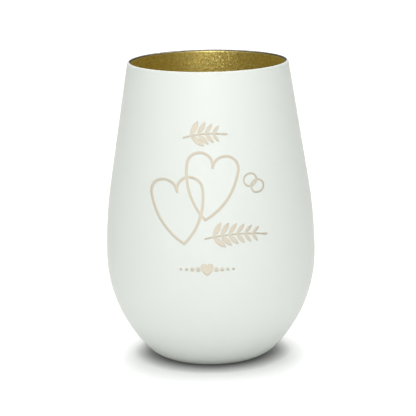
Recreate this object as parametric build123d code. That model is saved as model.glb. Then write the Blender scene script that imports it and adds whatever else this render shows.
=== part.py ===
"""Unity candle glass: a lacquered, engraved stemless glass with a tea light standing inside it.

Millimetres. +Z is up, Z is the axis of the glass, the origin is the centre of its foot, and the
engraved side faces -Y. Round pieces are drawn as flat sections, radius across and height up,
and turned about Z.
"""

import os
from math import atan, atan2, cos, degrees, radians, sin, tan

from build123d import *

# ---- Glass ----
GLASS_HEIGHT = 125.0
BELLY_RADIUS = 43.8  # outside, at the widest place
BELLY_HEIGHT = 44.0  # height of the widest place
RIM_RADIUS = 33.3  # outside of the cone, carried up to the top of the rim
FOOT_RADIUS = 17.8  # outer edge of the flat ring that the glass stands on
SHOULDER_RISE = 15.4  # the cone, carried down, is as wide as the belly this far above it
BOWL_FULLNESS = 0.69  # 0 gives a bowl of one big arc, 1 a bowl with a sharp foot
WALL = 1.3
FLOOR_HEIGHT = 7.5  # top of the thick bottom, inside
FLOOR_FILLET = 6.0
PUNT_RADIUS = 14.0  # hollow under the bottom, so that only a ring touches the table
PUNT_DEPTH = 0.9

# ---- Coats and engraving ----
LACQUER = 0.2  # outer coat
GOLD = 0.15  # inner coat
LACQUER_HEM = 0.25  # the outer coat stops this far above the table
BARE_RIM = (-0.45, 0.1)  # strip of clear glass between the coats, across from the middle of the rim
ENGRAVING_DEPTH = 0.25  # into the glass, below the outer coat
FROST = 0.1  # frosted skin at the bottom of the engraving

# ---- Motif: places are across and up from its middle, as seen from the front ----
MOTIF_DROP = 50.0  # from the top of the rim down to the middle of the motif
HEART_STROKE = 1.1
HEART_SIZE = (20.6, 26.0)  # width, and length from the tops of the lobes to the tip
REAR_HEART_AT = (0.0, 5.0)
REAR_HEART_TILT = -9.0
FRONT_HEART_AT = (-12.2, -4.6)
FRONT_HEART_TILT = 7.0

STEM_STROKE = 0.7
STEM_BOW = 0.05  # rise of a stem's middle, as a share of its length
LEAF_SIZE = (6.8, 2.2)  # length and width of the lowest leaves
LEAF_SPREAD = 50.0  # degrees between a leaf and the stem
LEAF_SHRINK = 0.5  # the end leaf's size against the lowest
UPPER_SPRIG_ACROSS = -10.2  # the stem's thick end
UPPER_SPRIG_GAP = 5.2  # from the top of the hearts up to the stem's thick end
UPPER_SPRIG_LENGTH = 14.5
UPPER_SPRIG_TILT = 6.0
UPPER_SPRIG_PAIRS = 4
LOWER_SPRIG_AT = (-2.2, -15.4)
LOWER_SPRIG_LENGTH = 22.0
LOWER_SPRIG_TILT = 2.0
LOWER_SPRIG_PAIRS = 6

RING_STROKE = 0.75
RING_RADIUS = 2.5  # middle of the stroke
RING_GAP = 1.2  # from the hearts across to the rings
RINGS_UP = 5.8
RING_SHIFT = (1.45, -1.35)  # from the middle of the pair to the lower ring

BEAD_ROW_AT = (-1.6, -28.0)
BEAD_HEART_SIZE = (5.0, 5.0)
BEAD_RADII = (0.95, 0.8, 0.65, 0.5)  # from the middle of the row outwards
BEAD_PITCH = 2.3

# ---- Tea light ----
CUP_RADIUS = 18.2  # outside of the wall, at the bottom
CUP_HEIGHT = 15.5
CUP_DRAFT = 1.2  # degrees that the wall leans outwards
CUP_SHEET = 0.25
CUP_CORNER = 1.4  # outside radius between the bottom and the wall
CURL_RADIUS = 0.5  # rolled edge
WAX_HEIGHT = 13.0
WAX_CHAMFER = 0.8
WAX_CLEARANCE = 0.1  # to the wall of the cup
WICK_RADIUS = 0.75
WICK_ABOVE_WAX = 8.0
SUSTAINER_RADIUS = 6.0
SUSTAINER_SHEET = 0.3
NECK_HEIGHT = 4.0

# ---- What follows from the sizes above ----
TAPER = atan2(BELLY_RADIUS - RIM_RADIUS, GLASS_HEIGHT - BELLY_HEIGHT - SHOULDER_RISE)  # radians
SHOULDER_ARC = SHOULDER_RISE / tan(TAPER / 2)  # radius of the long arc between the belly and the cone

FLARE = BELLY_RADIUS - FOOT_RADIUS
JOIN = 2 * atan(BOWL_FULLNESS * FLARE / BELLY_HEIGHT)  # angle where the bowl's two arcs meet
JOIN_SHARE = sin(JOIN) + cos(JOIN) - 1
BELLY_ARC = (BELLY_HEIGHT * cos(JOIN) - FLARE * (1 - sin(JOIN))) / JOIN_SHARE
FOOT_ARC = (FLARE * sin(JOIN) - BELLY_HEIGHT * (1 - cos(JOIN))) / JOIN_SHARE

CUP_FLOOR = FLOOR_HEIGHT + GOLD  # the tea light stands on the gold coat
FAR = 3 * max(GLASS_HEIGHT, BELLY_RADIUS)  # reaches past everything


def turned(section):
    """Solid of a flat section turned once round the axis of the glass."""
    return revolve(Plane.XZ * section, Axis.Z)


def band(low, high):
    """Flat band from the axis outwards, between two heights."""
    return Pos(0, low) * Rectangle(FAR, high - low, align=(Align.MIN, Align.MIN))


def cone_radius(outset, height):
    """Radius of the cone at a height, at a distance outside the glass."""
    return RIM_RADIUS + outset / cos(TAPER) + (GLASS_HEIGHT - height) * tan(TAPER)


def body_section(outset=0.0):
    """All that lies inside the glass's outer curve moved outwards by outset, up to above the rim."""
    top = GLASS_HEIGHT + WALL
    foot = CenterArc((FOOT_RADIUS, FOOT_ARC), FOOT_ARC + outset, -90, 90 - degrees(JOIN))
    belly_middle = (BELLY_RADIUS - BELLY_ARC, BELLY_HEIGHT)
    belly = CenterArc(belly_middle, BELLY_ARC + outset, -degrees(JOIN), degrees(JOIN))
    shoulder_middle = (BELLY_RADIUS - SHOULDER_ARC, BELLY_HEIGHT)
    shoulder = CenterArc(shoulder_middle, SHOULDER_ARC + outset, 0, degrees(TAPER))
    cone = Line(shoulder @ 1, (cone_radius(outset, top), top))
    closing = Polyline(cone @ 1, (0, top), (0, -outset), foot @ 0)
    return make_face([foot, belly, shoulder, cone, closing])


def cavity_section(inset, floor):
    """All that lies inside the glass's inner side, from a floor up, at a distance inside the outer curve."""
    section = body_section(-inset) & band(floor, FAR)
    corner = section.vertices().group_by(Axis.Y)[0].sort_by(Axis.X)[-1]
    return fillet(corner, FLOOR_FILLET - (inset - WALL))


def rim_place():
    """Place of the middle of the round rim, with +Y along the wall."""
    height = GLASS_HEIGHT - WALL / 2
    return Pos(cone_radius(-WALL / 2, height), height) * Rot(0, 0, degrees(TAPER))


def above_rim(side=Align.CENTER, across=0):
    """All above the middle of the rim, or the part of it outside (MIN) or inside (MAX) a line."""
    return rim_place() * Pos(across, 0) * Rectangle(FAR, FAR, align=(side, Align.MIN))


def rounding(coat):
    """The rim's round, with a coat on it."""
    return rim_place() * Circle(WALL / 2 + coat)


def shell(inner, outer):
    """Flat section of a skin between two distances outside the glass, up to the middle of the rim."""
    return (body_section(outer) - body_section(inner)) & band(LACQUER_HEM, FAR) - above_rim()


def glass_tumbler():
    """Blown glass with a thick bottom, a shallow punt and a round, fire-polished rim."""
    punt_arc = (PUNT_RADIUS**2 + PUNT_DEPTH**2) / (2 * PUNT_DEPTH)
    punt = Pos(0, PUNT_DEPTH - punt_arc) * Circle(punt_arc)
    wall = body_section() - cavity_section(WALL, FLOOR_HEIGHT) - above_rim() - punt
    return turned(wall + (rounding(0) & above_rim()))


def outer_lacquer():
    """Matt coat on the outside and over the outer part of the rim."""
    lap = (rounding(LACQUER) - rounding(0)) & above_rim(Align.MIN, BARE_RIM[1])
    return turned(shell(0, LACQUER) + lap)


def gold_lining():
    """Metallic coat on the inside and over the inner part of the rim."""
    lap = (rounding(GOLD) - rounding(0)) & above_rim(Align.MAX, BARE_RIM[0])
    coat = cavity_section(WALL, FLOOR_HEIGHT) - cavity_section(WALL + GOLD, CUP_FLOOR)
    return turned(coat - above_rim() + lap)


def heart(width, length):
    """The four arcs of a heart about its middle: a lobe and a side, and the same mirrored."""
    lobe = width / 4
    widest = length / 2 - lobe
    drop = length / 2 + widest
    side = (width**2 / 4 + drop**2) / width
    lobe_arc = CenterArc((lobe, widest), lobe, 180, -180)
    side_arc = CenterArc((width / 2 - side, widest), side, 0, -degrees(atan2(drop, side - width / 2)))
    half = [lobe_arc, side_arc]
    return half + [mirror(arc, Plane.YZ) for arc in half]


def hearts():
    """Two overlapping hearts drawn as lines."""
    line = sum((SlotArc(arc.edge(), HEART_STROKE) for arc in heart(*HEART_SIZE)), Sketch())
    rear = Pos(*REAR_HEART_AT) * Rot(0, 0, REAR_HEART_TILT) * line
    front = Pos(*FRONT_HEART_AT) * Rot(0, 0, FRONT_HEART_TILT) * line
    return rear + front


def leaf(size):
    """A pointed leaf from the origin along +X, at a share of the full size."""
    length, width = (size * full for full in LEAF_SIZE)
    upper = ThreePointArc((0, 0), (length / 2, width / 2), (length, 0))
    return make_face([upper, mirror(upper, Plane.XZ)])


def sprig(length, pairs):
    """A bowed stem from the origin along +X, with leaves in pairs that get smaller, and one at its end."""
    stem = ThreePointArc((0, 0), (length / 2, STEM_BOW * length), (length, 0))
    sketch = Sketch() + SlotArc(stem.edge(), STEM_STROKE)
    for i in range(pairs + 1):
        along = (i + 1) / (pairs + 1)
        size = 1 - (1 - LEAF_SHRINK) * i / pairs
        heading = degrees(atan2((stem % along).Y, (stem % along).X))
        turns = (LEAF_SPREAD, -LEAF_SPREAD) if i < pairs else (0,)
        for turn in turns:
            sketch += Pos(stem @ along) * Rot(0, 0, heading + turn) * leaf(size)
    return sketch


def rings():
    """Two rings that overlap, to the right of the origin."""
    outer = RING_RADIUS + RING_STROKE / 2
    ring = Circle(outer) - Circle(outer - RING_STROKE)
    x, y = RING_SHIFT
    return Pos(outer + x, 0) * (Pos(x, y) * ring + Pos(-x, -y) * ring)


def bead_row():
    """A small filled heart with beads in a line on both sides."""
    row = Sketch() + make_face(heart(*BEAD_HEART_SIZE))
    for i, radius in enumerate(BEAD_RADII):
        across = BEAD_HEART_SIZE[0] / 2 + (i + 0.5) * BEAD_PITCH
        row += Pos(across, 0) * Circle(radius) + Pos(-across, 0) * Circle(radius)
    return Pos(*BEAD_ROW_AT) * row


def motif():
    """The engraved sketches by node name."""
    middle = hearts()
    reach = middle.bounding_box().max
    upper = Rot(0, 0, UPPER_SPRIG_TILT) * sprig(UPPER_SPRIG_LENGTH, UPPER_SPRIG_PAIRS)
    lower = Rot(0, 0, LOWER_SPRIG_TILT) * sprig(LOWER_SPRIG_LENGTH, LOWER_SPRIG_PAIRS)
    return {
        "engraved_hearts": middle,
        "engraved_upper_sprig": Pos(UPPER_SPRIG_ACROSS, reach.Y + UPPER_SPRIG_GAP) * upper,
        "engraved_lower_sprig": Pos(*LOWER_SPRIG_AT) * lower,
        "engraved_rings": Pos(reach.X + RING_GAP, RINGS_UP) * rings(),
        "engraved_bead_row": bead_row(),
    }


def beam(sketch):
    """The path of the laser: a motif sketch carried from in front of the glass in to its axis."""
    front = Plane(origin=(0, -FAR, GLASS_HEIGHT - MOTIF_DROP), x_dir=(1, 0, 0), z_dir=(0, -1, 0))
    return extrude(front * sketch, amount=FAR, dir=(0, 1, 0))


def cup_section(inset, low, high):
    """All that lies inside the tea light's cup, a distance in from its outside, between two heights."""
    lean = tan(radians(CUP_DRAFT))
    radius = CUP_RADIUS - inset / cos(radians(CUP_DRAFT))
    outline = Polyline((0, low), (radius + low * lean, low), (radius + high * lean, high), (0, high), close=True)
    section = make_face(outline)
    corner = section.vertices().group_by(Axis.Y)[0].sort_by(Axis.X)[-1]
    return fillet(corner, CUP_CORNER - inset)


def tea_light_cup():
    """Deep-drawn aluminium cup with a rolled edge."""
    curl_height = CUP_HEIGHT - CURL_RADIUS
    wall = cup_section(0, 0, curl_height) - cup_section(CUP_SHEET, CUP_SHEET, curl_height)
    wall_inside = wall.vertices().group_by(Axis.Y)[-1].sort_by(Axis.X)[0].X
    ring = Circle(CURL_RADIUS) - Circle(CURL_RADIUS - CUP_SHEET)
    open_quarter = Rectangle(FAR, FAR, align=(Align.MAX, Align.MAX))
    return turned(wall + Pos(wall_inside + CURL_RADIUS, curl_height) * (ring - open_quarter))


def column(radius, height):
    """Round solid on the axis, standing on the floor of the cup."""
    return Pos(0, 0, CUP_SHEET) * Cylinder(radius, height, align=(Align.CENTER, Align.CENTER, Align.MIN))


def tea_light():
    """The tea light's pieces by node name. The sustainer is a tinplate disc whose neck grips the wick."""
    wick = column(WICK_RADIUS, WAX_HEIGHT + WICK_ABOVE_WAX)
    neck = column(WICK_RADIUS + SUSTAINER_SHEET, NECK_HEIGHT)
    grip = column(SUSTAINER_RADIUS, SUSTAINER_SHEET) + neck
    block = cup_section(CUP_SHEET + WAX_CLEARANCE, CUP_SHEET, CUP_SHEET + WAX_HEIGHT)
    edge = block.vertices().group_by(Axis.Y)[-1].sort_by(Axis.X)[-1]
    return {
        "tea_light_cup": tea_light_cup(),
        "wax": turned(chamfer(edge, WAX_CHAMFER)) - grip - wick,
        "wick": wick,
        "wick_sustainer": grip - wick,
    }


def assembly():
    """Every piece in its place, by node name."""
    beams = {name: beam(sketch) for name, sketch in motif().items()}
    lacquer = outer_lacquer()
    frost = turned(shell(-ENGRAVING_DEPTH, FROST - ENGRAVING_DEPTH))
    uncut = turned(shell(-ENGRAVING_DEPTH, 0))
    glass = glass_tumbler()
    pieces = {}
    for name, path in beams.items():
        lacquer -= path
        glass -= uncut & path
        pieces[name] = frost & path
    pieces |= {"glass_tumbler": glass, "outer_lacquer": lacquer, "gold_lining": gold_lining()}
    pieces |= {name: Pos(0, 0, CUP_FLOOR) * piece for name, piece in tea_light().items()}
    return pieces


os.makedirs("parts", exist_ok=True)
for node, piece in assembly().items():
    export_step(piece, f"parts/{node}.step")
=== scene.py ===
from math import cos, pi, radians, sin, tan

import bpy
from bpy.props import FloatProperty, FloatVectorProperty, IntProperty, PointerProperty
from mathutils import Matrix, Vector


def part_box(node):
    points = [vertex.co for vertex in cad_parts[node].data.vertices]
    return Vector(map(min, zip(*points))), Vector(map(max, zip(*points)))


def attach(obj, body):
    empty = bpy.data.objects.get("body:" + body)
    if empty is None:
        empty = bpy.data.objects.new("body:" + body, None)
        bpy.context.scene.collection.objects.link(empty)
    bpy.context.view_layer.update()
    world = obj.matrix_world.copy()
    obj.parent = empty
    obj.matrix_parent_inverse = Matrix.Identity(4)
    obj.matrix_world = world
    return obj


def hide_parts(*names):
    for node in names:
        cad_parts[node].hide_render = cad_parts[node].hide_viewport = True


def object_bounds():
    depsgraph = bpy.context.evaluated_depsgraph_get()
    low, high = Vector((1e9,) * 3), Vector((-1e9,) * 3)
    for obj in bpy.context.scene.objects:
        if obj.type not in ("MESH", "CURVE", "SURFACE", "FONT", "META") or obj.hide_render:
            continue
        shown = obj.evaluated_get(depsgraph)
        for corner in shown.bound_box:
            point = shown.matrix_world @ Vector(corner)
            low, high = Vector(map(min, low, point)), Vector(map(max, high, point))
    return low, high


bl_info = {
    "name": "Unity Candle Glass",
    "version": (1, 0, 0),
    "blender": (4, 5, 0),
    "location": "3D View > Sidebar > Candle Glass",
    "description": "Finishes a lacquered, engraved candle glass and the tea light that stands in it",
    "category": "Object",
}

# The frame is loaded first, so that sizes can be read from it. Lengths are in metres.
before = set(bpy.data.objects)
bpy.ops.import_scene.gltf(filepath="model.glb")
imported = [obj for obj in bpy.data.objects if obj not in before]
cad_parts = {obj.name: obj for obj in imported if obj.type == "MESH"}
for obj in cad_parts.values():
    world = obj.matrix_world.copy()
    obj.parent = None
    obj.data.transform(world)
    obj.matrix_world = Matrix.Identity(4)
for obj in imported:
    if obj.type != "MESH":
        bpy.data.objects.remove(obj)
CAD_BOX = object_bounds()
MM = 0.001
FLAKE_TILT = 0.32  # how far a flake's normal leans, against the length of the normal
CUP_LOW, CUP_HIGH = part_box("tea_light_cup")
WAX_LOW, WAX_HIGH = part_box("wax")
WICK_LOW, WICK_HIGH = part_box("wick")
ENGRAVED = ("engraved_hearts", "engraved_upper_sprig", "engraved_lower_sprig", "engraved_rings",
            "engraved_bead_row")


# ---- Colour and node helpers ----

def linear(hex_code):
    """Linear red, green and blue of an sRGB hex colour."""
    channels = (int(hex_code[i:i + 2], 16) / 255 for i in (0, 2, 4))
    return tuple(c / 12.92 if c <= 0.04045 else ((c + 0.055) / 1.055) ** 2.4 for c in channels)


def add_node(tree, kind, inputs=(), links=(), **settings):
    """A node of a kind with its settings, its inputs' values, and what feeds its inputs."""
    node = tree.nodes.new(kind)
    for name, value in settings.items():
        setattr(node, name, value)
    for name, value in dict(inputs).items():
        node.inputs[name].default_value = value
    for name, source in dict(links).items():
        tree.links.new(source, node.inputs[name])
    return node


def new_material(name, **surface):
    """A material with a Principled surface whose even values are set on its own sockets."""
    material = bpy.data.materials.new(name)
    material.use_nodes = True
    tree = material.node_tree
    shader = tree.nodes["Principled BSDF"]
    for socket, value in surface.items():
        shader.inputs[socket.replace("_", " ")].default_value = value
    return material, tree, shader


def per_mm(size_mm):
    """Scale of a noise or cell pattern whose features are a size in millimetres."""
    return 1000 / size_mm


def wave_per_mm(pitch_mm):
    """Scale of a band pattern with a pitch in millimetres."""
    return 2 * pi / 20 * 1000 / pitch_mm


# ---- Mesh helpers ----

def arc(middle, radius, start, end, steps):
    """Points (radius, height) along an arc of a profile, angles in degrees."""
    angles = (radians(start + (end - start) * i / steps) for i in range(steps + 1))
    return [(middle[0] + radius * cos(a), middle[1] + radius * sin(a)) for a in angles]


def new_object(name, vertices, faces, material, body, slot):
    """A smooth mesh object that rides on a body."""
    mesh = bpy.data.meshes.new(name)
    mesh.from_pydata(vertices, [], faces)
    mesh.validate()
    mesh.polygons.foreach_set("use_smooth", [True] * len(mesh.polygons))
    mesh.materials.append(material)
    piece = bpy.data.objects.new(name, mesh)
    bpy.context.scene.collection.objects.link(piece)
    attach(piece, body)
    return piece


def turned(profile, segments, shape=None):
    """Vertices and faces of a profile turned round the axis of the glass. A point on the axis is one vertex.

    The shape, if any, takes a point's radius, height and angle and gives its new radius and height.
    """
    vertices, faces, rings = [], [], []
    for radius, height in profile:
        count = segments if radius > 1e-7 else 1
        rings.append(range(len(vertices), len(vertices) + count))
        for k in range(count):
            angle = 2 * pi * k / segments
            r, z = shape(radius, height, angle) if shape else (radius, height)
            vertices.append((r * cos(angle), r * sin(angle), z))
    for low, high in zip(rings, rings[1:]):
        for k in range(segments):
            n = (k + 1) % segments
            corners = (low[k % len(low)], low[n % len(low)], high[n % len(high)], high[k % len(high)])
            faces.append(tuple(dict.fromkeys(corners)))
    return vertices, faces


def tube(path, radius, sides):
    """Vertices and faces of a round strand along a path, with a radius for each point and closed ends."""
    vertices, faces = [], []
    for i, point in enumerate(path):
        along = (path[min(i + 1, len(path) - 1)] - path[max(i - 1, 0)]).normalized()
        side = along.cross(Vector((0, 1, 0))).normalized()
        up = side.cross(along)
        for k in range(sides):
            a = 2 * pi * k / sides
            vertices.append(point + radius[i] * (cos(a) * side + sin(a) * up))
    for i in range(len(path) - 1):
        for k in range(sides):
            n = (k + 1) % sides
            faces.append((i * sides + k, i * sides + n, (i + 1) * sides + n, (i + 1) * sides + k))
    faces.append(tuple(reversed(range(sides))))
    faces.append(tuple(range((len(path) - 1) * sides, len(path) * sides)))
    return vertices, faces


# ---- Sizes and colours ----

def length(name, description, millimetres):
    """A length property given in millimetres."""
    return FloatProperty(name=name, description=description, default=millimetres * MM, min=0, precision=5,
                         unit="LENGTH")


def colour(name, description, hex_code):
    """A colour property given as an sRGB hex colour."""
    return FloatVectorProperty(name=name, description=description, default=linear(hex_code), min=0, max=1,
                               size=3, subtype="COLOR")


class CandleGlassSizes(bpy.types.PropertyGroup):
    """Sizes of the finishes and of the tea light's detail."""

    orange_peel: length("Orange peel", "Width of the ripples in the sprayed coat", 1.6)
    flake: length("Metal flake", "Width of the flakes in the gold lining", 0.36)
    # Painted shade: height of the band below the top where the gold is painted dark brown.
    rim_shade_height: length("Rim fade", "Height below the top over which the gold thins out", 0.8)
    laser_pitch: length("Laser pitch", "Distance between the laser's lines in the engraving", 0.3)
    sheet: length("Cup sheet", "Thickness of the aluminium of the cup", 0.25)
    cup_corner: length("Cup corner", "Outside radius between the cup's bottom and wall", 1.4)
    curl: length("Cup curl", "Radius of the cup's rolled edge", 0.5)
    cup_draft: FloatProperty(name="Cup draft", description="How far the cup's wall leans outwards",
                             default=radians(1.2), min=0, max=radians(10), subtype="ANGLE")
    draw_marks: IntProperty(name="Draw marks", description="Shallow folds round the cup's wall", default=90,
                            min=3)
    draw_depth: length("Draw mark depth", "Height of the folds in the cup's wall", 0.03)
    meniscus: length("Meniscus", "How far the wax climbs at the cup and at the wick", 0.5)
    strand: length("Wick strand", "Radius of one strand of the braided wick", 0.31)
    braid: length("Braid length", "Height in which one strand goes across and back", 2.6)


class CandleGlassColours(bpy.types.PropertyGroup):
    """Colours of the finishes."""

    lacquer: colour("Lacquer", "Outer coat", "CDD2CC")
    lacquer_edge: colour("Lacquer edge", "Bloom of the outer coat, seen along the surface", "E8DCB0")
    # The next two flake colours are a painted highlight and a painted shade, given to the flakes at random.
    gold: colour("Gold", "Flakes of the lining that catch the light", "FFF6A4")
    gold_flake_shade: colour("Deep gold", "Flakes of the lining that lie turned away", "E0C870")
    # Painted shade: the lining is painted this dark brown over the rim, for the dark line round the mouth.
    gold_rim_shade: colour("Thin gold", "Lining where it thins out and darkens over the rim", "84705A")
    frost: colour("Frost", "Lasered glass", "D3CBBA")
    # Painted shade: the lasered glass is painted this darker colour between the laser's lines.
    frost_groove_shade: colour("Deep frost", "Between the laser's lines", "C5BCAA")
    glass: colour("Glass", "Clear glass, seen through its edge", "F3F9F6")
    aluminium: colour("Aluminium", "Cup of the tea light", "C6C7C9")
    wax: colour("Wax", "Paraffin of the tea light", "E2DED3")
    cotton: colour("Cotton", "Wick", "DDD4C0")
    tinplate: colour("Tinplate", "Disc that holds the wick", "B9BABB")
    floor: colour("Floor", "Studio floor", "FAFAFA")


class CandleGlassStage(bpy.types.PropertyGroup):
    """Camera and light."""

    camera_back: length("Camera distance", "From the axis of the glass to the camera", 759.0)
    camera_up: length("Camera height", "From the floor to the camera", 233.9)
    pitch: FloatProperty(name="Pitch", description="How far the camera looks down", default=radians(12.73),
                         subtype="ANGLE")
    yaw: FloatProperty(name="Yaw", description="How far the camera looks to the left of the axis",
                       default=radians(0.07), subtype="ANGLE")
    roll: FloatProperty(name="Roll", description="How far the camera leans to the right",
                        default=radians(0.95), subtype="ANGLE")
    focal: FloatProperty(name="Focal length", description="On a sensor 36 mm wide", default=159.6, min=1,
                         unit="CAMERA")
    overhead: FloatProperty(name="Overhead light", description="Strength of the soft light straight above",
                            default=0.8, min=0)
    dome: FloatProperty(name="Dome light", description="Strength of the very wide light above", default=1.66,
                        min=0)
    front: FloatProperty(name="Front light", description="Strength of the low light in front", default=0.78,
                         min=0)
    side: FloatProperty(name="Side light", description="Strength of the weak light on the left", default=0.12,
                        min=0)
    back: FloatProperty(name="Back light", description="Strength of the soft light high behind",
                        default=1.45, min=0)
    softbox: FloatProperty(name="Softbox", description="Power of the softbox in front, in watts", default=0.2,
                           min=0)
    backdrop: FloatProperty(name="Backdrop", description="Brightness of the white behind the object",
                            default=1.0, min=0)
    ambient: FloatProperty(name="Ambient light",
                           description="Brightness of the room, as it lights the object", default=0.15, min=0)


# ---- Materials ----

def matt_spray_lacquer(sizes, colours):
    """Pigmented polyurethane lacquer, sprayed and baked.

    It gives a soft white with hardly any gloss, faint ripples from the spray gun and a bloom along the edges.
    """
    material, tree, shader = new_material(
        "matt_polyurethane_lacquer_sprayed", Roughness=0.5, Specular_IOR_Level=0.22, Sheen_Weight=0.12,
        Sheen_Roughness=0.2, Sheen_Tint=(*colours.lacquer_edge, 1))
    place = add_node(tree, "ShaderNodeTexCoord").outputs["Object"]
    cloud = add_node(tree, "ShaderNodeTexNoise", {"Scale": per_mm(28), "Detail": 2}, {"Vector": place})
    tone = add_node(tree, "ShaderNodeMixRGB", {"Color1": (*(0.985 * c for c in colours.lacquer), 1),
                                               "Color2": (*colours.lacquer, 1)},
                    {"Fac": cloud.outputs["Fac"]})
    peel = add_node(tree, "ShaderNodeTexNoise", {"Scale": per_mm(sizes.orange_peel / MM), "Detail": 3},
                    {"Vector": place})
    bump = add_node(tree, "ShaderNodeBump", {"Strength": 0.35, "Distance": 0.02 * MM},
                    {"Height": peel.outputs["Fac"]})
    tree.links.new(tone.outputs["Color"], shader.inputs["Base Color"])
    tree.links.new(bump.outputs["Normal"], shader.inputs["Normal"])
    return material


def metallic_flake_lacquer(sizes, colours):
    """Clear lacquer filled with bronze flakes, sprayed on the inside.

    The flakes lie at slightly different angles, so the gold sparkles, and each flake is also painted a lighter
    or a darker gold at random: painted highlight and painted shade. Over the rim the lining is painted dark
    brown, a painted shade that draws a dark line round the mouth. Real flakes are well under 0.1 mm across and
    are drawn wider so that they show.
    """
    material, tree, shader = new_material("gold_flake_lacquer_sprayed", Metallic=1.0, Coat_Weight=0.1,
                                          Coat_Roughness=0.3)
    place = add_node(tree, "ShaderNodeTexCoord").outputs["Object"]
    flakes = add_node(tree, "ShaderNodeTexVoronoi", {"Scale": per_mm(sizes.flake / MM)}, {"Vector": place})
    shade = add_node(tree, "ShaderNodeSeparateColor", links={"Color": flakes.outputs["Color"]})
    # Painted highlight and painted shade: each flake is painted the lighter or the darker gold at random.
    tone = add_node(tree, "ShaderNodeMixRGB",
                    {"Color1": (*colours.gold_flake_shade, 1), "Color2": (*colours.gold, 1)},
                    {"Fac": shade.outputs["Red"]})
    # Painted shade: towards the top of the rim the lining is painted dark brown.
    height = add_node(tree, "ShaderNodeSeparateXYZ", links={"Vector": place}).outputs["Z"]
    top = CAD_BOX[1][2]
    rim_shade_mask = add_node(tree, "ShaderNodeMapRange",
                    {"From Min": top - sizes.rim_shade_height, "From Max": top - sizes.rim_shade_height / 2},
                    {"Value": height})
    lining = add_node(tree, "ShaderNodeMixRGB", {"Color2": (*colours.gold_rim_shade, 1)},
                      {"Fac": rim_shade_mask.outputs["Result"], "Color1": tone.outputs["Color"]})
    rough = add_node(tree, "ShaderNodeMapRange", {"To Min": 0.38, "To Max": 0.58},
                     {"Value": shade.outputs["Green"]})
    lean = add_node(tree, "ShaderNodeVectorMath", {1: (0.5, 0.5, 0.5)}, {0: flakes.outputs["Color"]},
                    operation="SUBTRACT")
    level = add_node(tree, "ShaderNodeNewGeometry").outputs["Normal"]
    tilted = add_node(tree, "ShaderNodeVectorMath", {1: (FLAKE_TILT,) * 3},
                      {0: lean.outputs["Vector"], 2: level}, operation="MULTIPLY_ADD")
    normal = add_node(tree, "ShaderNodeVectorMath", links={0: tilted.outputs["Vector"]},
                      operation="NORMALIZE")
    tree.links.new(lining.outputs["Color"], shader.inputs["Base Color"])
    tree.links.new(rough.outputs["Result"], shader.inputs["Roughness"])
    tree.links.new(normal.outputs["Vector"], shader.inputs["Normal"])
    return material


def lasered_glass(sizes, colours):
    """Soda-lime glass, crazed by a laser that has burnt off the white coat.

    Frosted beige, because the gold lining shines through, with fine level lines where the laser passed and
    painted shade between the lines, where the surface is lower. The real lines are about 0.1 mm apart and are
    drawn wider so that they show.
    """
    material, tree, shader = new_material("soda_lime_glass_laser_frosted", Roughness=0.7, IOR=1.5)
    place = add_node(tree, "ShaderNodeTexCoord").outputs["Object"]
    lines = add_node(tree, "ShaderNodeTexWave",
                     {"Scale": wave_per_mm(sizes.laser_pitch / MM), "Distortion": 0.6, "Detail": 2},
                     {"Vector": place}, bands_direction="Z")
    craze = add_node(tree, "ShaderNodeTexNoise", {"Scale": per_mm(0.35), "Detail": 3}, {"Vector": place})
    height = add_node(tree, "ShaderNodeMath", links={0: lines.outputs["Fac"], 1: craze.outputs["Fac"]},
                      operation="MULTIPLY")
    # Painted shade: where the laser texture is lower, between the lines, the glass is painted darker.
    tone = add_node(tree, "ShaderNodeMixRGB",
                    {"Color1": (*colours.frost_groove_shade, 1), "Color2": (*colours.frost, 1)},
                    {"Fac": height.outputs["Value"]})
    bump = add_node(tree, "ShaderNodeBump", {"Strength": 0.5, "Distance": 0.03 * MM},
                    {"Height": height.outputs["Value"]})
    tree.links.new(tone.outputs["Color"], shader.inputs["Base Color"])
    tree.links.new(bump.outputs["Normal"], shader.inputs["Normal"])
    return material


def clear_glass(colours):
    """Soda-lime glass, blown, its rim melted round by a flame.

    Clear and glossy with a faint swell, a trace of green where it is seen edge on, and bright lines along
    the rim.
    """
    material, tree, shader = new_material("soda_lime_glass_fire_polished", Roughness=0.02, IOR=1.52,
                                          Transmission_Weight=1.0, Base_Color=(*colours.glass, 1))
    place = add_node(tree, "ShaderNodeTexCoord").outputs["Object"]
    swell = add_node(tree, "ShaderNodeTexNoise", {"Scale": per_mm(9), "Detail": 1}, {"Vector": place})
    bump = add_node(tree, "ShaderNodeBump", {"Strength": 0.3, "Distance": 0.05 * MM},
                    {"Height": swell.outputs["Fac"]})
    tree.links.new(bump.outputs["Normal"], shader.inputs["Normal"])
    return material


def drawn_aluminium(colours):
    """Thin aluminium sheet, deep drawn.

    Bright and slightly blurred, with upright streaks where the die rubbed the wall.
    """
    material, tree, shader = new_material("aluminium_deep_drawn", Metallic=1.0,
                                          Base_Color=(*colours.aluminium, 1))
    place = add_node(tree, "ShaderNodeTexCoord").outputs["Object"]
    upright = add_node(tree, "ShaderNodeMapping", {"Scale": (1, 1, 0.04)}, {"Vector": place})
    streaks = add_node(tree, "ShaderNodeTexNoise", {"Scale": per_mm(0.5), "Detail": 4},
                       {"Vector": upright.outputs["Vector"]})
    rough = add_node(tree, "ShaderNodeMapRange", {"To Min": 0.22, "To Max": 0.42},
                     {"Value": streaks.outputs["Fac"]})
    bump = add_node(tree, "ShaderNodeBump", {"Strength": 0.4, "Distance": 0.01 * MM},
                    {"Height": streaks.outputs["Fac"]})
    tree.links.new(rough.outputs["Result"], shader.inputs["Roughness"])
    tree.links.new(bump.outputs["Normal"], shader.inputs["Normal"])
    return material


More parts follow.
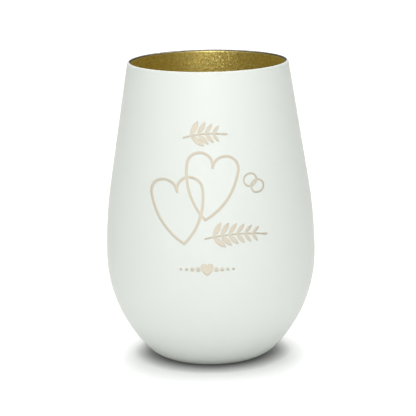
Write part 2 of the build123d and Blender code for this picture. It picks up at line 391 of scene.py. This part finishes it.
def poured_paraffin(colours):
    """Paraffin wax, poured hot and left to set.

    Milky and soft-edged because light goes in a few millimetres, with a satin skin and small crystal blooms.
    """
    material, tree, shader = new_material("paraffin_wax_poured", Subsurface_Weight=0.7,
                                          Subsurface_Scale=3 * MM, IOR=1.43)
    place = add_node(tree, "ShaderNodeTexCoord").outputs["Object"]
    bloom = add_node(tree, "ShaderNodeTexNoise", {"Scale": per_mm(3.2), "Detail": 5, "Roughness": 0.65},
                     {"Vector": place})
    tone = add_node(tree, "ShaderNodeMixRGB", {"Color1": (*(0.93 * c for c in colours.wax), 1),
                                               "Color2": (*colours.wax, 1)},
                    {"Fac": bloom.outputs["Fac"]})
    rough = add_node(tree, "ShaderNodeMapRange", {"To Min": 0.3, "To Max": 0.5},
                     {"Value": bloom.outputs["Fac"]})
    bump = add_node(tree, "ShaderNodeBump", {"Strength": 0.5, "Distance": 0.04 * MM},
                    {"Height": bloom.outputs["Fac"]})
    tree.links.new(tone.outputs["Color"], shader.inputs["Base Color"])
    tree.links.new(rough.outputs["Result"], shader.inputs["Roughness"])
    tree.links.new(bump.outputs["Normal"], shader.inputs["Normal"])
    return material


def waxed_cotton(colours):
    """Cotton yarn, braided and dipped in wax.

    Off-white and dull, with fine fibres along the strands, painted a little darker in between them as painted
    shade.
    """
    material, tree, shader = new_material("cotton_braided_waxed", Roughness=0.75, Sheen_Weight=0.2,
                                          Sheen_Roughness=0.5)
    place = add_node(tree, "ShaderNodeTexCoord").outputs["Object"]
    along = add_node(tree, "ShaderNodeMapping", {"Scale": (1, 1, 0.25)}, {"Vector": place})
    fibres = add_node(tree, "ShaderNodeTexNoise", {"Scale": per_mm(0.12), "Detail": 2},
                      {"Vector": along.outputs["Vector"]})
    # Painted shade: the fibre texture is painted darker where it is lower, between the fibres.
    tone = add_node(tree, "ShaderNodeMixRGB", {"Color1": (*(0.72 * c for c in colours.cotton), 1),
                                               "Color2": (*colours.cotton, 1)},
                    {"Fac": fibres.outputs["Fac"]})
    bump = add_node(tree, "ShaderNodeBump", {"Strength": 0.7, "Distance": 0.04 * MM},
                    {"Height": fibres.outputs["Fac"]})
    tree.links.new(tone.outputs["Color"], shader.inputs["Base Color"])
    tree.links.new(bump.outputs["Normal"], shader.inputs["Normal"])
    return material


def stamped_tinplate(colours):
    """Steel sheet with a skin of tin, stamped.

    Grey and half bright, with the fine straight grain of rolled sheet.
    """
    material, tree, shader = new_material("tinplate_stamped", Metallic=1.0, Base_Color=(*colours.tinplate, 1))
    place = add_node(tree, "ShaderNodeTexCoord").outputs["Object"]
    along = add_node(tree, "ShaderNodeMapping", {"Scale": (0.05, 1, 1)}, {"Vector": place})
    grain = add_node(tree, "ShaderNodeTexNoise", {"Scale": per_mm(0.2), "Detail": 3},
                     {"Vector": along.outputs["Vector"]})
    rough = add_node(tree, "ShaderNodeMapRange", {"To Min": 0.3, "To Max": 0.5},
                     {"Value": grain.outputs["Fac"]})
    tree.links.new(rough.outputs["Result"], shader.inputs["Roughness"])
    return material


def white_floor(colours):
    """Matt laminate of a studio floor.

    Plain, pale and dull, so that only the soft shadow shows.
    Its colour is painted darker where something stands close above it, a painted contact shadow, so that the
    line of contact is crisp.
    """
    material, tree, shader = new_material("matt_laminate_white_painted_contact_shadow", Roughness=0.9, Specular_IOR_Level=0.1,
                                          Emission_Color=(1, 1, 1, 1), Emission_Strength=0.045)
    # Painted contact shadow: the floor's colour is darkened where things stand close above it.
    room = add_node(tree, "ShaderNodeAmbientOcclusion", {"Distance": 7 * MM})
    close = add_node(tree, "ShaderNodeMath", {1: 0.6}, {0: room.outputs["AO"]}, operation="POWER")
    tone = add_node(tree, "ShaderNodeMixRGB", {"Color1": (0, 0, 0, 1), "Color2": (*colours.floor, 1)},
                    {"Fac": close.outputs["Value"]})
    tree.links.new(tone.outputs["Color"], shader.inputs["Base Color"])
    place = add_node(tree, "ShaderNodeTexCoord").outputs["Object"]
    grain = add_node(tree, "ShaderNodeTexNoise", {"Scale": per_mm(2)}, {"Vector": place})
    bump = add_node(tree, "ShaderNodeBump", {"Strength": 0.05, "Distance": 0.02 * MM},
                    {"Height": grain.outputs["Fac"]})
    tree.links.new(bump.outputs["Normal"], shader.inputs["Normal"])
    return material


def refinish(node, material):
    """Gives a CAD node its material."""
    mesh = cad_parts[node].data
    mesh.materials.clear()
    mesh.materials.append(material)


# ---- Operators ----

class CandleGlassTumbler(bpy.types.Operator):
    """Finish the tumbler as clear, fire-polished glass"""

    bl_idname = "candle_glass.tumbler"
    bl_label = "Glass tumbler"

    def execute(self, context):
        refinish("glass_tumbler", clear_glass(context.scene.candle_glass_colours))
        return {"FINISHED"}


class CandleGlassCoats(bpy.types.Operator):
    """Finish the matt coat outside and the metallic coat inside"""

    bl_idname = "candle_glass.coats"
    bl_label = "Outer lacquer and gold lining"

    def execute(self, context):
        sizes, colours = context.scene.candle_glass_sizes, context.scene.candle_glass_colours
        refinish("outer_lacquer", matt_spray_lacquer(sizes, colours))
        refinish("gold_lining", metallic_flake_lacquer(sizes, colours))
        return {"FINISHED"}


class CandleGlassEngraving(bpy.types.Operator):
    """Finish the engraved hearts, sprigs, rings and beads as frosted glass"""

    bl_idname = "candle_glass.engraving"
    bl_label = "Engraving"

    def execute(self, context):
        frosted = lasered_glass(context.scene.candle_glass_sizes, context.scene.candle_glass_colours)
        for node in ENGRAVED:
            refinish(node, frosted)
        return {"FINISHED"}


class CandleGlassCup(bpy.types.Operator):
    """Build the tea light's drawn cup with its rolled edge and the folds in its wall"""

    bl_idname = "candle_glass.cup"
    bl_label = "Tea light cup"

    def execute(self, context):
        sizes = context.scene.candle_glass_sizes
        lean, sheet, corner, curl = tan(sizes.cup_draft), sizes.sheet, sizes.cup_corner, sizes.curl
        low, curl_height = CUP_LOW.z, CUP_HIGH.z - curl
        middle = CUP_HIGH.x - curl
        top = middle - curl + sheet  # outside of the wall, below the curl
        foot = top - (curl_height - low) * lean
        # The middle of the bottom is pressed up in a soft step: share of the foot's radius, and rise.
        step = ((0, 0.3 * MM), (0.55, 0.3 * MM), (0.6, 0.22 * MM), (0.64, 0.06 * MM), (0.68, 0))

        def wall(inset):
            """The bottom and the corner from the axis outwards, a distance in from the outside."""
            inner = corner - inset
            base = [(foot * share - inset, low + inset + rise) for share, rise in step]
            base[0] = (0.0, base[0][1])
            return base + arc((foot + corner * lean - inset - inner, low + inset + inner), inner, -90, 0, 8)

        rows = 14
        outside = [(foot + (z - low) * lean, z) for z in
                   (low + corner + (curl_height - low - corner) * i / rows for i in range(1, rows))]
        roll = arc((middle, curl_height), curl - sheet, 180, -90, 18)
        roll += arc((middle, curl_height), curl, -90, 180, 24)
        inside = [(r - sheet, z) for r, z in reversed(outside)]
        profile = wall(0) + outside + roll + inside + list(reversed(wall(sheet)))

        def folds(radius, height, angle):
            """The wall folds slightly in and out, more towards its middle, unevenly round the cup."""
            share = (height - low - corner) / (curl_height - low - corner)
            swell = max(0.0, sin(pi * min(max(share, 0.0), 1.0))) * (0.7 + 0.3 * sin(5 * angle + 1.0))
            return radius + sizes.draw_depth * swell * sin(sizes.draw_marks * angle), height

        shape = turned(profile, 8 * sizes.draw_marks, folds)
        metal = drawn_aluminium(context.scene.candle_glass_colours)
        cup = new_object("drawn_cup", *shape, metal, "tea_light", "drawn_aluminium")
        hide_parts("tea_light_cup")
        return {"FINISHED"}


class CandleGlassWax(bpy.types.Operator):
    """Build the poured wax, which climbs at the cup and at the wick and sinks in between"""

    bl_idname = "candle_glass.wax"
    bl_label = "Wax"

    def execute(self, context):
        climb = context.scene.candle_glass_sizes.meniscus
        radius, low, high = WAX_HIGH.x, WAX_LOW.z, WAX_HIGH.z
        lean = tan(context.scene.candle_glass_sizes.cup_draft)
        foot = radius - (high - low) * lean
        corner, lip, sink = 1.1 * MM, 0.1 * MM, 0.25 * MM  # lip and sink are below the top
        steps, segments = 60, 192
        side = arc((foot - corner, low + corner), corner, -90, 0, 6)
        side.append((radius - climb * lean, high - lip))

        def surface(r):
            """Height of the top, which falls away from the cup and the wick."""
            at_cup = max(0.0, 1 - (radius - r) / (3 * climb)) ** 2
            at_wick = max(0.0, 1 - (r - WICK_HIGH.x) / (2.5 * climb)) ** 2
            dip = sink * cos(pi * r / radius) ** 2
            return high - climb + climb * min(1.0, at_cup + 0.8 * at_wick) - dip * (1 - at_cup)

        top = [(radius * (1 - i / steps), surface(radius * (1 - i / steps))) for i in range(steps)]
        profile = [(0.0, low)] + side + top[1:] + [(0.0, surface(0))]
        material = poured_paraffin(context.scene.candle_glass_colours)
        wax = new_object("poured_wax", *turned(profile, segments), material, "tea_light", "wax")
        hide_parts("wax")
        return {"FINISHED"}


class CandleGlassWick(bpy.types.Operator):
    """Build the braided wick and finish the disc that holds it"""

    bl_idname = "candle_glass.wick"
    bl_label = "Wick and its disc"

    def execute(self, context):
        sizes, colours = context.scene.candle_glass_sizes, context.scene.candle_glass_colours
        room, height = WICK_HIGH.x, WICK_HIGH.z - WICK_LOW.z
        strands, sides, steps = 3, 12, 240
        flatness = 0.45  # of the braid, its depth against its width
        tip, narrowing = 0.03, 0.5  # last share of the height, and the share of its radius a strand loses there
        across, deep = room - sizes.strand, flatness * (room - sizes.strand)
        vertices, faces = [], []
        for strand in range(strands):
            path, radii = [], []
            for i in range(steps + 1):
                turn = 2 * pi * (i / steps * height / sizes.braid + strand / strands)
                path.append(Vector((across * sin(turn), deep * sin(2 * turn),
                                    WICK_LOW.z + height * i / steps)))
                radii.append(sizes.strand * (1 - narrowing * max(0.0, i / steps - (1 - tip)) / tip))
            more_vertices, more_faces = tube(path, radii, sides)
            faces += [tuple(len(vertices) + v for v in face) for face in more_faces]
            vertices += more_vertices
        wick = new_object("braided_wick", vertices, faces, waxed_cotton(colours), "tea_light", "cotton_wick")
        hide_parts("wick")
        refinish("wick_sustainer", stamped_tinplate(colours))
        return {"FINISHED"}


def soft_light(name, across, rise, spread, strength):
    """A far, wide light, placed by its angles across from the front and up from the floor, in degrees."""
    light = bpy.data.lights.new(name, "SUN")
    light.energy, light.angle = strength, radians(spread)
    lamp = bpy.data.objects.new(name, light)
    level = cos(radians(rise))
    place = Vector((level * sin(radians(across)), -level * cos(radians(across)), sin(radians(rise))))
    lamp.location = place
    lamp.rotation_euler = (-place).to_track_quat("-Z", "Y").to_euler()
    bpy.context.scene.collection.objects.link(lamp)


def softbox(name, place, aim, side, watts):
    """A square soft light close to the object, aimed at a point."""
    light = bpy.data.lights.new(name, "AREA")
    light.size, light.energy = side, watts
    lamp = bpy.data.objects.new(name, light)
    lamp.location = place
    lamp.rotation_euler = (Vector(aim) - Vector(place)).to_track_quat("-Z", "Y").to_euler()
    lamp.visible_camera = False
    bpy.context.scene.collection.objects.link(lamp)


class CandleGlassStudio(bpy.types.Operator):
    """Set up the white floor, the soft light and the camera"""

    bl_idname = "candle_glass.studio"
    bl_label = "Studio"

    def execute(self, context):
        scene, studio = context.scene, context.scene.candle_glass_stage
        mesh = bpy.data.meshes.new("studio_floor")
        reach, drop = 6.0, -0.02 * MM  # just below the foot, so that the two don't share a plane
        corners = ((-reach, -reach), (reach, -reach), (reach, reach), (-reach, reach))
        mesh.from_pydata([(x, y, drop) for x, y in corners], [], [(0, 1, 2, 3)])
        mesh.materials.append(white_floor(scene.candle_glass_colours))
        floor = bpy.data.objects.new("studio_floor", mesh)
        scene.collection.objects.link(floor)

        world = bpy.data.worlds.new("white_studio")
        world.use_nodes = True
        tree = world.node_tree
        tree.nodes.clear()
        direct = add_node(tree, "ShaderNodeLightPath").outputs["Is Camera Ray"]
        level = add_node(tree, "ShaderNodeMapRange", {"To Min": studio.ambient, "To Max": studio.backdrop},
                         {"Value": direct})
        shine = add_node(tree, "ShaderNodeBackground", {"Color": (1, 1, 1, 1)},
                         {"Strength": level.outputs["Result"]})
        add_node(tree, "ShaderNodeOutputWorld", links={"Surface": shine.outputs["Background"]})
        scene.world = world

        soft_light("overhead_light", 0, 90, 45, studio.overhead)
        soft_light("dome_light", 0, 90, 80, studio.dome)
        soft_light("front_light", 0, 12, 25, studio.front)
        soft_light("side_light", -50, 30, 20, studio.side)
        soft_light("back_light", 180, 50, 40, studio.back)
        softbox("front_softbox", (0, -0.25, 0.2), (0, 0, 0.12), 0.1, studio.softbox)

        data = bpy.data.cameras.new("camera")
        data.lens, data.sensor_width = studio.focal, 36
        data.clip_start, data.clip_end = 0.01, 20
        camera = bpy.data.objects.new("camera", data)
        turn = Matrix.Rotation(studio.yaw, 4, "Z") @ Matrix.Rotation(pi / 2 - studio.pitch, 4, "X")
        turn = turn @ Matrix.Rotation(-studio.roll, 4, "Z")
        camera.matrix_world = Matrix.Translation((0, -studio.camera_back, studio.camera_up)) @ turn
        scene.collection.objects.link(camera)
        scene.camera = camera
        scene.view_settings.view_transform = "Standard"
        return {"FINISHED"}


class CandleGlassPanel(bpy.types.Panel):
    """Sizes, colours and operators of the candle glass."""

    bl_idname = "VIEW3D_PT_candle_glass"
    bl_label = "Candle Glass"
    bl_space_type = "VIEW_3D"
    bl_region_type = "UI"
    bl_category = "Candle Glass"

    def draw(self, context):
        for group, title in ((context.scene.candle_glass_sizes, "Sizes"),
                             (context.scene.candle_glass_colours, "Colours"),
                             (context.scene.candle_glass_stage, "Studio")):
            box = self.layout.box()
            box.label(text=title)
            for name in group.__annotations__:
                box.prop(group, name)
        for operator in OPERATORS:
            self.layout.operator(operator.bl_idname)


GROUPS = {"candle_glass_sizes": CandleGlassSizes, "candle_glass_colours": CandleGlassColours,
          "candle_glass_stage": CandleGlassStage}
OPERATORS = (CandleGlassTumbler, CandleGlassCoats, CandleGlassEngraving, CandleGlassCup, CandleGlassWax,
             CandleGlassWick, CandleGlassStudio)
CLASSES = (*GROUPS.values(), *OPERATORS, CandleGlassPanel)


def register():
    for cls in CLASSES:
        bpy.utils.register_class(cls)
    for name, group in GROUPS.items():
        setattr(bpy.types.Scene, name, PointerProperty(type=group))


def unregister():
    for name in GROUPS:
        delattr(bpy.types.Scene, name)
    for cls in reversed(CLASSES):
        bpy.utils.unregister_class(cls)


def main():
    register()
    for operator in OPERATORS:
        group, name = operator.bl_idname.split(".")
        getattr(getattr(bpy.ops, group), name)()


if __name__ == "__main__":
    main()
